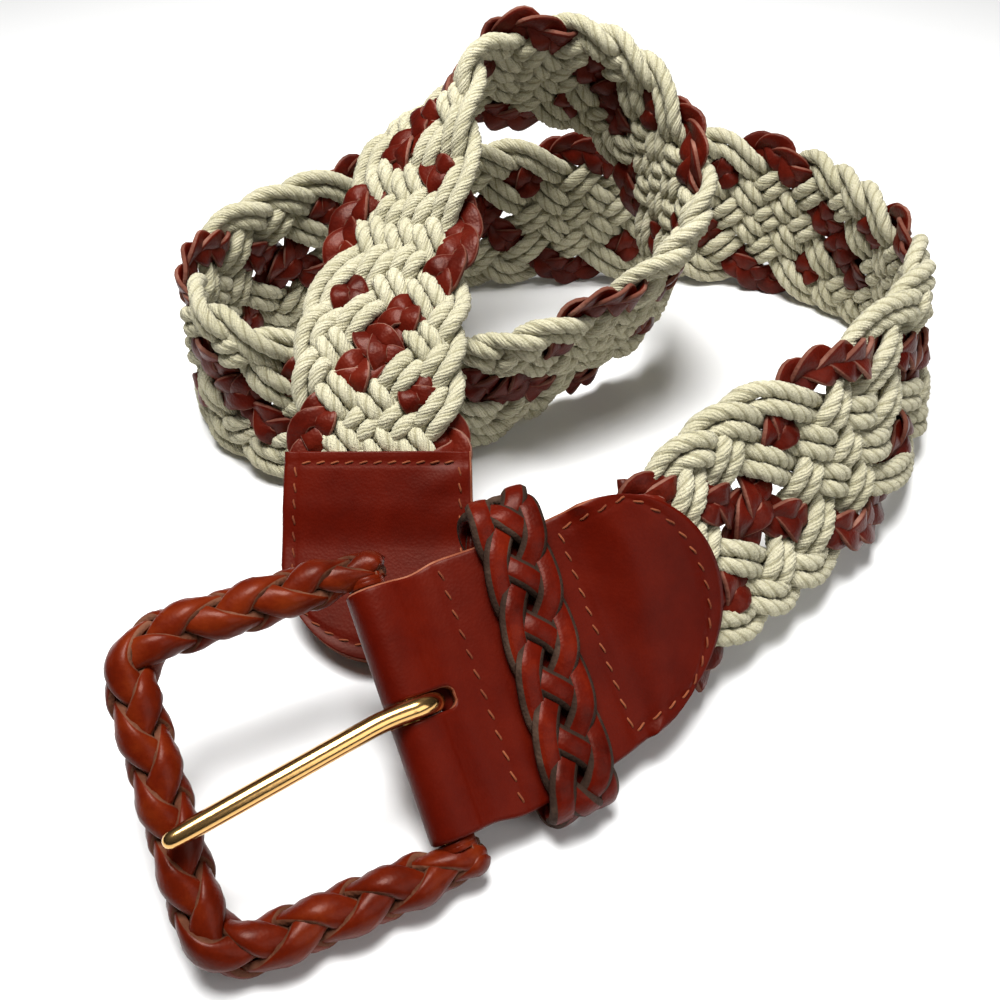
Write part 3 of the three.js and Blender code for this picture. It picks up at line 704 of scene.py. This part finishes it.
def buckle_tab():
    """One sheet of leather folded round the bar, with a slot for the prong."""
    line, normal = tab_profile()
    edge = SLOT["share"]
    across = np.concatenate([[-1, -0.985], np.linspace(-0.96, -0.12, 22), np.linspace(-edge, edge, 7),
                             np.linspace(0.12, 0.96, 22), [0.985, 1]])

    def place(row, a, offset):
        x, h = line[row]
        nx, nh = normal[row]
        grow = offset + np.where(offset > 0, dimple(x, a), 0)
        a = beside_slot(x, h, a)
        return tab_point(np.zeros(a.shape) + x + nx * grow, a, h + nh * grow)

    def in_slot(i, j):
        middle = (across[j] + across[j + 1]) / 2
        x = (line[i][0] + line[i + 1][0]) / 2
        h = line[i][1]
        return abs(middle) < edge and x < (SLOT["end"] if h > 0 else SLOT["through"])

    return sheet_grid(place, len(line), across, TAB["leather"], in_slot, "tab_leather",
                      [MATERIALS["leather"], MATERIALS["raw"]], raw_side=True)


def tip_point(along, across, height):
    along, across, height = np.broadcast_arrays(*map(np.atleast_1d, (along, across, height)))
    past = np.maximum(along - TIP["round_start"], 0)
    reach = np.minimum(along, TIP["round_start"]) + past * round_end(across)
    return belt_point(TIP["start"] + reach / CELL_LENGTH, across, height)


def tip_half(x):
    """Half of the tip tab's thickness at a length past its mouth."""
    places = [0, TIP["pocket"], TIP["pocket"] + 12]
    return smooth_steps(x, places, [TIP["mouth_half"], TIP["pocket_half"], TIP["sewn_half"]])


def tip_tab():
    """Two layers of leather sewn together round the end of the weave."""
    across = np.concatenate([[-1, -0.985], np.linspace(-0.96, 0.96, 49), [0.985, 1]])
    x = np.concatenate([[0, 0.4], np.arange(1, TIP["length"] - 1, 1.0),
                        [TIP["length"] - 0.4, TIP["length"]]])
    pieces = []
    for side, name in ((1, "tip_front"), (-1, "tip_back")):
        middle = tip_half(x)
        inner = (middle - TIP["leather"]) * smooth_steps(x, [TIP["pocket"], TIP["pocket"] + 8], [1, 0])
        centre, thick = (middle + inner) / 2, middle - inner

        def place(row, a, offset, centre=centre, thick=thick, side=side):
            seam = groove(x[row] - TIP_SEAMS["mouth"], 0.6) + groove(x[row] - TIP_SEAMS["rim"], 0.8)
            seam = seam + groove(np.abs(a) - TIP_SEAMS["side"], 0.03)
            drawn = np.where(offset * side > 0, TIP_SEAMS["depth"] * np.clip(seam, 0, 1), 0)
            crease = 0.35 * np.sin(x[row] * 0.55 + 5 * a) * groove(a - 0.75, 0.3) * groove(x[row], 16)
            height = side * centre[row] + offset * thick[row] - side * drawn + crease
            return tip_point(np.full(a.shape, x[row]), a, height)

        piece = sheet_grid(place, len(x), across, 1.0, lambda i, j: False, name,
                           [MATERIALS["leather"], MATERIALS["raw"]], raw_side=True)
        pieces.append(piece)
    return pieces


# Stitches
def stitch_row(place, path, spacing, length, points, faces):
    """Short thread loops along a path of (length, across) pairs on a tab's face."""
    path = np.asarray(path, float)
    dense = np.concatenate([np.linspace(path[n], path[n + 1], 40, endpoint=False)
                            for n in range(len(path) - 1)] + [path[-1:]])
    surface = place(dense[:, 0], dense[:, 1], np.zeros(len(dense)))
    lifted = place(dense[:, 0], dense[:, 1], np.ones(len(dense)))
    up = unit(lifted - surface)
    where = resample(surface, spacing)
    lengths = np.concatenate([[0], np.cumsum(np.linalg.norm(np.diff(surface, axis=0), axis=1))])
    for centre in pick(lengths, where)[:-1] + spacing / 2:
        t = np.linspace(-0.5, 0.5, len(THREAD_TAPER))
        at = np.interp(centre + t * length, lengths, np.arange(len(surface)))
        line = pick(surface, at)
        high = unit(pick(up, at))
        line = line + high * (THREAD["lift"] - THREAD["dive"] * t ** 4)[:, None]
        line = line + THREAD["slant"] * t[:, None] * np.cross(high, tangents(line))
        along = tangents(line)
        high = unit(np.cross(along, np.cross(high, along)))
        side = np.cross(high, along)
        angle = np.arange(THREAD["sides"]) * 2 * math.pi / THREAD["sides"]
        thick = THREAD["radius"] * THREAD_TAPER
        ring = np.stack([np.cos(angle), np.sin(angle)], -1)[None] * thick[:, None, None]
        faces += tube_faces(len(line), THREAD["sides"], offset=sum(map(len, points)))
        points.append(sweep(line, side, high, ring))


def tab_face(sign):
    def place(x, a, lift):
        return tab_point(x, a, sign * (tab_half(x) + lift - SEAMS["depth"]))
    return place


def tip_face(sign):
    def place(x, a, lift):
        return tip_point(x, a, sign * (tip_half(x) + lift - TIP_SEAMS["depth"]))
    return place


def arc_path(start, end, side, count=24):
    """Up one side, round the end and down the other."""
    angles = np.linspace(-1, 1, count) * side
    return [(start, -side)] + [(end, a) for a in angles] + [(start, side)]


def tab_stitches():
    points, faces = [], []
    first, first_side, second, rim, side = (
        SEAMS[key] for key in ("first", "first_side", "second", "rim", "side"))
    rows = ([(first, -first_side), (first, first_side)],
            [(second, -side), (second, side)],
            arc_path(second, rim, side))
    for sign in (1, -1):
        for row in rows:
            stitch_row(tab_face(sign), row, *TAB_STITCH, points, faces)
    return make_object("tab_stitches", np.concatenate(points), faces, [MATERIALS["thread"]])


def tip_stitches():
    points, faces = [], []
    mouth, mouth_side, start, rim, side = (
        TIP_SEAMS[key] for key in ("mouth", "mouth_side", "side_start", "rim", "side"))
    for sign in (1, -1):
        place = tip_face(sign)
        stitch_row(place, [(mouth, -mouth_side), (mouth, mouth_side)], *MOUTH_STITCH, points, faces)
        stitch_row(place, arc_path(start, rim, side), *RIM_STITCH, points, faces)
    return make_object("tip_stitches", np.concatenate(points), faces, [MATERIALS["thread"]])


# The buckle
def frame_path(step=0.4):
    """Centre line of the wrapped sides, as length along and place across in the buckle's plane."""
    f = FRAME_SIDE
    top = np.arange(f["tail"], f["corner"] - f["depth"], -step)
    points = [np.stack([top, np.full(len(top), f["half_height"])], 1)]
    angle = np.linspace(0.5, 1, 30) * math.pi
    centre = np.array([f["corner"] - f["depth"], f["half_height"] - f["corner"]])
    points.append(centre + f["corner"] * np.stack([np.cos(angle), np.sin(angle)], 1))
    down = np.arange(f["half_height"] - f["corner"], f["corner"] - f["half_height"], -step)[1:]
    points.append(np.stack([np.full(len(down), -f["depth"]), down], 1))
    angle = np.linspace(1, 1.5, 30) * math.pi
    centre = np.array([f["corner"] - f["depth"], f["corner"] - f["half_height"]])
    points.append(centre + f["corner"] * np.stack([np.cos(angle), np.sin(angle)], 1))
    low = top[::-1]
    points.append(np.stack([low, np.full(len(low), -f["half_height"])], 1))
    return np.concatenate(points)


def ribbon_frame(line, outward, closed=False):
    """Sideways and outward directions of a ribbon along a line."""
    forward = tangents(line, closed)
    normal = unit(np.cross(forward, np.cross(outward, forward)))
    return np.cross(normal, forward), normal


def frame_strands(points, faces, marks):
    """Flat strands plaited round the buckle's wire, tucked in at both ends."""
    f = FRAME_SIDE
    path = frame_path()
    path = pick(path, resample(path, f["step"]))
    centre = buckle_point(path[:, 0], path[:, 1], np.zeros(len(path)))
    high = np.broadcast_to(BUCKLE["front"], centre.shape)
    out = np.cross(tangents(centre), high)
    total = f["step"] * (len(path) - 1)
    lay = total / round(total / f["lay"])
    s = np.arange(len(path)) * f["step"]
    from_end = np.minimum(s, total - s)
    closing = np.sqrt(1 - (1 - np.clip((from_end + 0.4) / f["close"], 0, 1)) ** 2)
    squeeze = smooth_steps(from_end, f["tuck"], [f["tucked"], 1]) * closing
    centre = centre - (1.2 * (1 - closing) * np.sign(path[:, 1]))[:, None] * BUCKLE["across"]
    turn = s / lay
    for strand in range(f["strands"]):
        turn_sign = 1 if strand < 2 else -1
        swing = 2 * math.pi * turn - turn_sign * 0.25 * np.sin(4 * math.pi * turn)
        angle = math.pi / 4 + turn_sign * swing + (strand % 2) * math.pi
        cross = np.cos(4 * math.pi * turn) * turn_sign
        radius = (f["core"] + f["lift"] * cross) * squeeze
        outward = np.cos(angle)[:, None] * out + np.sin(angle)[:, None] * high
        line = centre + radius[:, None] * outward
        side, normal = ribbon_frame(line, outward)
        bend = RIBBON * [f["wide"], f["thick"]]
        bend = bend - np.stack([np.zeros(len(RIBBON)), f["crown"] * bend[:, 0] ** 2], 1)
        bend = bend[None] * (0.55 + 0.45 * squeeze)[:, None, None]
        faces += tube_faces(len(line), len(RIBBON), offset=sum(map(len, points)))
        marks += ribbon_materials(len(line))
        points.append(sweep(line, side, normal, bend))


def frame_collars(points, faces, marks):
    """Thin lace wound round the bar where the plait ends beside the tab."""
    c = COLLAR
    turns = np.linspace(0, c["turns"], c["points"])
    angle = 2 * math.pi * turns
    for end in (-1, 1):
        across = end * (c["place"] + c["lay"] * turns)
        line = buckle_point(c["radius"] * np.cos(angle), across, c["radius"] * np.sin(angle))
        side, normal = ribbon_frame(line, unit(line - buckle_point(0.0, across, 0.0)))
        faces += tube_faces(len(line), len(RIBBON), offset=sum(map(len, points)))
        marks += ribbon_materials(len(line))
        points.append(sweep(line, side, normal, RIBBON * [0.62, 0.6]))


def wrapped_frame():
    points, faces, marks = [], [], []
    frame_strands(points, faces, marks)
    frame_collars(points, faces, marks)
    return make_object("wrapped_frame", np.concatenate(points), faces,
                       [MATERIALS["wrap"], MATERIALS["wrap_edge"]], marks)


def prong_aside(along):
    """How far the prong has gone aside at a length from the bar: straight but for one bend."""
    start, end = PRONG["bend"]

    def run(at):
        bent = np.clip(at - start, 0, end - start) ** 2 / (2 * (end - start))
        return bent + np.maximum(at - end, 0)

    return -PRONG["skew"] * run(along) / run(PRONG["tip"])


def prong():
    """A round brass prong from its tip to its eye, which wraps most of the way round the bar."""
    eye = BAR_RADIUS + PRONG["clearance"] + PRONG["radius"]
    rise = math.atan2(PRONG["rise"] - eye, PRONG["tip"])
    share = np.linspace(0, 1, 60)
    along = -PRONG["tip"] * (1 - share) - eye * math.sin(rise) * share
    height = PRONG["rise"] * (1 - share) + eye * math.cos(rise) * share
    angle = math.pi / 2 + rise - np.linspace(0.02, 1, 40) * math.radians(PRONG["wrap"])
    centres = np.concatenate([np.stack([along, height], 1),
                              eye * np.stack([np.cos(angle), np.sin(angle)], 1)])
    aside = np.concatenate([prong_aside(PRONG["tip"] * (1 - share)), np.zeros(len(angle))])
    centre = buckle_point(centres[:, 0], aside, centres[:, 1])
    forward = tangents(centre)
    high = unit(np.cross(np.broadcast_to(BUCKLE["across"], centre.shape), forward))
    side = np.cross(forward, high)
    angle = np.arange(PRONG["sides"]) * 2 * math.pi / PRONG["sides"]
    ring = PRONG["radius"] * np.stack([np.cos(angle), -np.sin(angle)], -1)
    thinner = 1 - PRONG["thinner"] * np.exp(-np.arange(len(centre)) / 5)
    points = sweep(centre, side, high, ring[None] * thinner[:, None, None])
    cap = []
    for share in (0.98, 0.9, 0.7, 0.4):
        size = math.sqrt(1 - share * share) * thinner[0]
        cap.append(centre[0] - forward[0] * PRONG["radius"] * share
                   + ring[:, :1] * side[0] * size + ring[:, 1:] * high[0] * size)
    points = np.concatenate(cap + [points])
    faces = tube_faces(len(centre) + len(cap), PRONG["sides"])
    return make_object("brass_prong", points, faces, [MATERIALS["brass"]])


KEEPER_RIBBON = np.array([[2.6, -0.7], [2.6, 0.35], [1.75, 1.05], [0.8, 1.2], [-0.8, 1.2],
                          [-1.75, 1.05], [-2.6, 0.35], [-2.6, -0.7], [-1.6, -1.0], [1.6, -1.0]])


def keeper_ring(steps, wide, high):
    """A flat ring round the tab at even steps: places across and up, then the outward direction."""
    flat = 2 * (wide - high)
    bend = math.pi * high
    spots = []
    for value in np.arange(steps) / steps * 2 * (flat + bend):
        if value < flat:
            spots.append((wide - high - value, high, 0, 1))
        elif value < flat + bend:
            a = math.pi / 2 + (value - flat) / high
            spots.append((high - wide + high * math.cos(a), high * math.sin(a), math.cos(a), math.sin(a)))
        elif value < 2 * flat + bend:
            spots.append((high - wide + value - flat - bend, -high, 0, -1))
        else:
            a = (value - 2 * flat - bend) / high - math.pi / 2
            spots.append((wide - high + high * math.cos(a), high * math.sin(a), math.cos(a), math.sin(a)))
    return np.array(spots, float).T


def keeper():
    """A flat four-strand plait, once round the tab."""
    k = KEEPER
    half = belt_frame(length_to_cell(k["centre"]))["half"][0]
    high = TAB["seam_half"] + k["gap"] + k["relief"] + k["thickness"] / 2
    steps, strands = k["steps"], k["strands"]
    outermost = math.tanh(k["steep"] * (1 - 1 / strands))
    x, y, nx, ny = keeper_ring(steps, half + high + k["slack"], high)
    points, faces, marks = [], [], []
    for strand in range(strands):
        n = np.arange(steps) / steps * k["periods"] * 2 * strands + 2 * strand
        reach = k["reach"] * np.tanh(k["steep"] * plait_wave(n, strands)) / outermost
        lift = -plait_lift(n, strands) * k["over"]
        f = belt_frame(length_to_cell(k["centre"] + reach + k["tilt"] * x / half))
        line = (f["middle"] + (k["lift"] + x + nx * lift)[:, None] * f["across"]
                + (y + ny * lift)[:, None] * f["front"])
        outward = nx[:, None] * f["across"] + ny[:, None] * f["front"]
        side, normal = ribbon_frame(line, outward, closed=True)
        faces += tube_faces(steps, len(KEEPER_RIBBON), closed=True, offset=sum(map(len, points)))
        marks += ribbon_materials(steps, closed=True, edges=BROAD_EDGE)
        points.append(sweep(line, side, normal, KEEPER_RIBBON))
    return make_object("keeper_plait", np.concatenate(points), faces,
                       [MATERIALS["keeper"], MATERIALS["keeper_edge"]], marks)


# Stage
def look_at(thing, place, target):
    thing.location = Vector(place) * MM
    direction = (Vector(target) - Vector(place)).normalized()
    thing.rotation_euler = direction.to_track_quat("-Z", "Y").to_euler()


FLOOR = dict(reach=1500, low=-0.15, colour=(0.82, 0.82, 0.815))
SKY = dict(low=(0.10, 0.10, 0.10, 1), high=(1, 1, 0.99, 1), high_from=0.9, strength=0.12)
CAMERA = dict(lens=37.8, sensor=36, clip=0.01, distance=270)
# name, place, size and power of each light, and the point that all of them face
LIGHTS = (("key", (-60, 20, 560), 260, 6.9),
          ("fill", (420, -360, 380), 420, 1.3),
          ("rear", (150, 480, 380), 300, 0.05))
LIT_POINT = (0, 0, 20)


def stage_floor():
    reach, low = FLOOR["reach"], FLOOR["low"]
    points = [(-reach, -reach, low), (reach, -reach, low), (reach, reach, low), (-reach, reach, low)]
    white, shader = new_material("floor_white", FLOOR["colour"], 0.9)
    floor = make_object("floor", np.array(points) - SHIFT, [(0, 1, 2, 3)], [white], smooth=False)


def stage_world():
    """A dim sky that is lighter overhead."""
    world = bpy.data.worlds.new("studio")
    bpy.context.scene.world = world
    world.use_nodes = True
    nodes, links = world.node_tree.nodes, world.node_tree.links
    coords = nodes.new("ShaderNodeTexCoord")
    split = nodes.new("ShaderNodeSeparateXYZ")
    links.new(coords.outputs["Generated"], split.inputs[0])
    ramp = nodes.new("ShaderNodeValToRGB")
    ramp.color_ramp.elements[0].position = 0.0
    ramp.color_ramp.elements[0].color = SKY["low"]
    ramp.color_ramp.elements[1].position = SKY["high_from"]
    ramp.color_ramp.elements[1].color = SKY["high"]
    links.new(split.outputs["Z"], ramp.inputs["Fac"])
    links.new(ramp.outputs["Color"], nodes["Background"].inputs["Color"])
    nodes["Background"].inputs["Strength"].default_value = SKY["strength"]


def stage_lights():
    for name, place, size, power in LIGHTS:
        light = bpy.data.lights.new(name, "AREA")
        light.size = size * MM
        light.energy = power
        lamp = bpy.data.objects.new(name, light)
        bpy.context.scene.collection.objects.link(lamp)
        look_at(lamp, place, LIT_POINT)


def stage_camera():
    """The photograph's view: from the front, at 45 degrees above the surface."""
    camera = bpy.data.objects.new("camera", bpy.data.cameras.new("camera"))
    camera.data.lens = CAMERA["lens"]
    camera.data.sensor_width = CAMERA["sensor"]
    camera.data.clip_start = CAMERA["clip"]
    bpy.context.scene.collection.objects.link(camera)
    bpy.context.scene.camera = camera
    distance = CAMERA["distance"] / math.sqrt(2)
    look_at(camera, Vector((0, -distance, distance)) + Vector(SHIFT), Vector(SHIFT))


def stage():
    stage_floor()
    stage_world()
    stage_lights()
    bpy.context.scene.view_settings.view_transform = "Standard"
    stage_camera()


def main():
    stage()
    for index in range(WEAVE["strands"]):
        make = lace_braid if index % 4 == 0 else cord_pair
        piece = make(index)
        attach(piece, "strap")
        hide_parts("strap_weave_outer", "strap_weave_inner")
    tab = buckle_tab()
    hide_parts("buckle_tab")
    fronts = tip_tab()
    for piece in fronts:
        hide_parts("tip_tab")
    sewn = [tab_stitches(), tip_stitches()]
    for piece in [tab] + fronts + sewn:
        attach(piece, "strap")
    loop = keeper()
    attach(loop, "strap")
    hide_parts("keeper")
    sides = wrapped_frame()
    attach(sides, "frame")
    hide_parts("buckle_wrap")
    rod = prong()
    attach(rod, "prong")
    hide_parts("prong")
    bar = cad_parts["buckle_bar"]
    for slot in bar.material_slots:
        slot.material = MATERIALS["bar"]


main()
bpy.context.view_layer.update()
